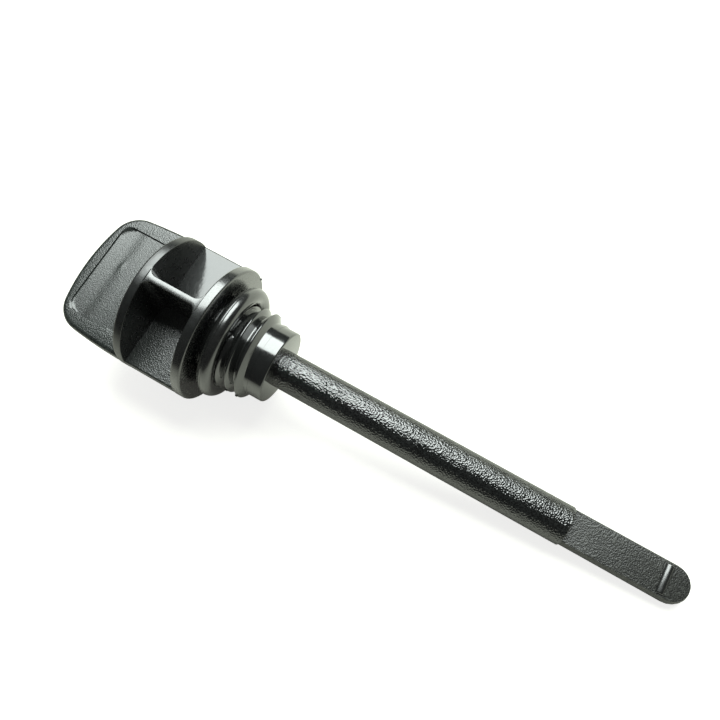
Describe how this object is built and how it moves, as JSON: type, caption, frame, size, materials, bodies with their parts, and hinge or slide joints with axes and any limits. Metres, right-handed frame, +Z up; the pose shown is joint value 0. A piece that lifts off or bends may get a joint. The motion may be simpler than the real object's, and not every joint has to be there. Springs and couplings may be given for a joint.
{
  "type": "oil dipstick",
  "caption": "Screw-in oil filler cap and dipstick in one plastic moulding: flat grip, ribbed collar, flange, coarse thread, long round rod and flat marked blade, with a rubber sealing ring.",
  "frame": {"origin": "on the cap's own axis, in the plane of the flange's seat face", "axes": "the part lies as it comes to rest, on the flange's rim and the blade's tip; +X runs towards the blade's tip, with the cap's own axis dipping 7.38 degrees below it, +Y along the width of the flat grip and +Z up"},
  "size_m": [0.1446, 0.032, 0.0338],
  "materials": {
    "black_plastic": "satin black nylon, finely spark-grained on the grip, rod and blade and polished on the collar, flange and nose",
    "black_rubber": "smooth oily nitrile rubber with a fine moulding line round its outside"
  },
  "bodies": {
    "root": {"cap_and_rod": "black_plastic", "seal_ring": "black_rubber"}
  },
  "joints": []
}
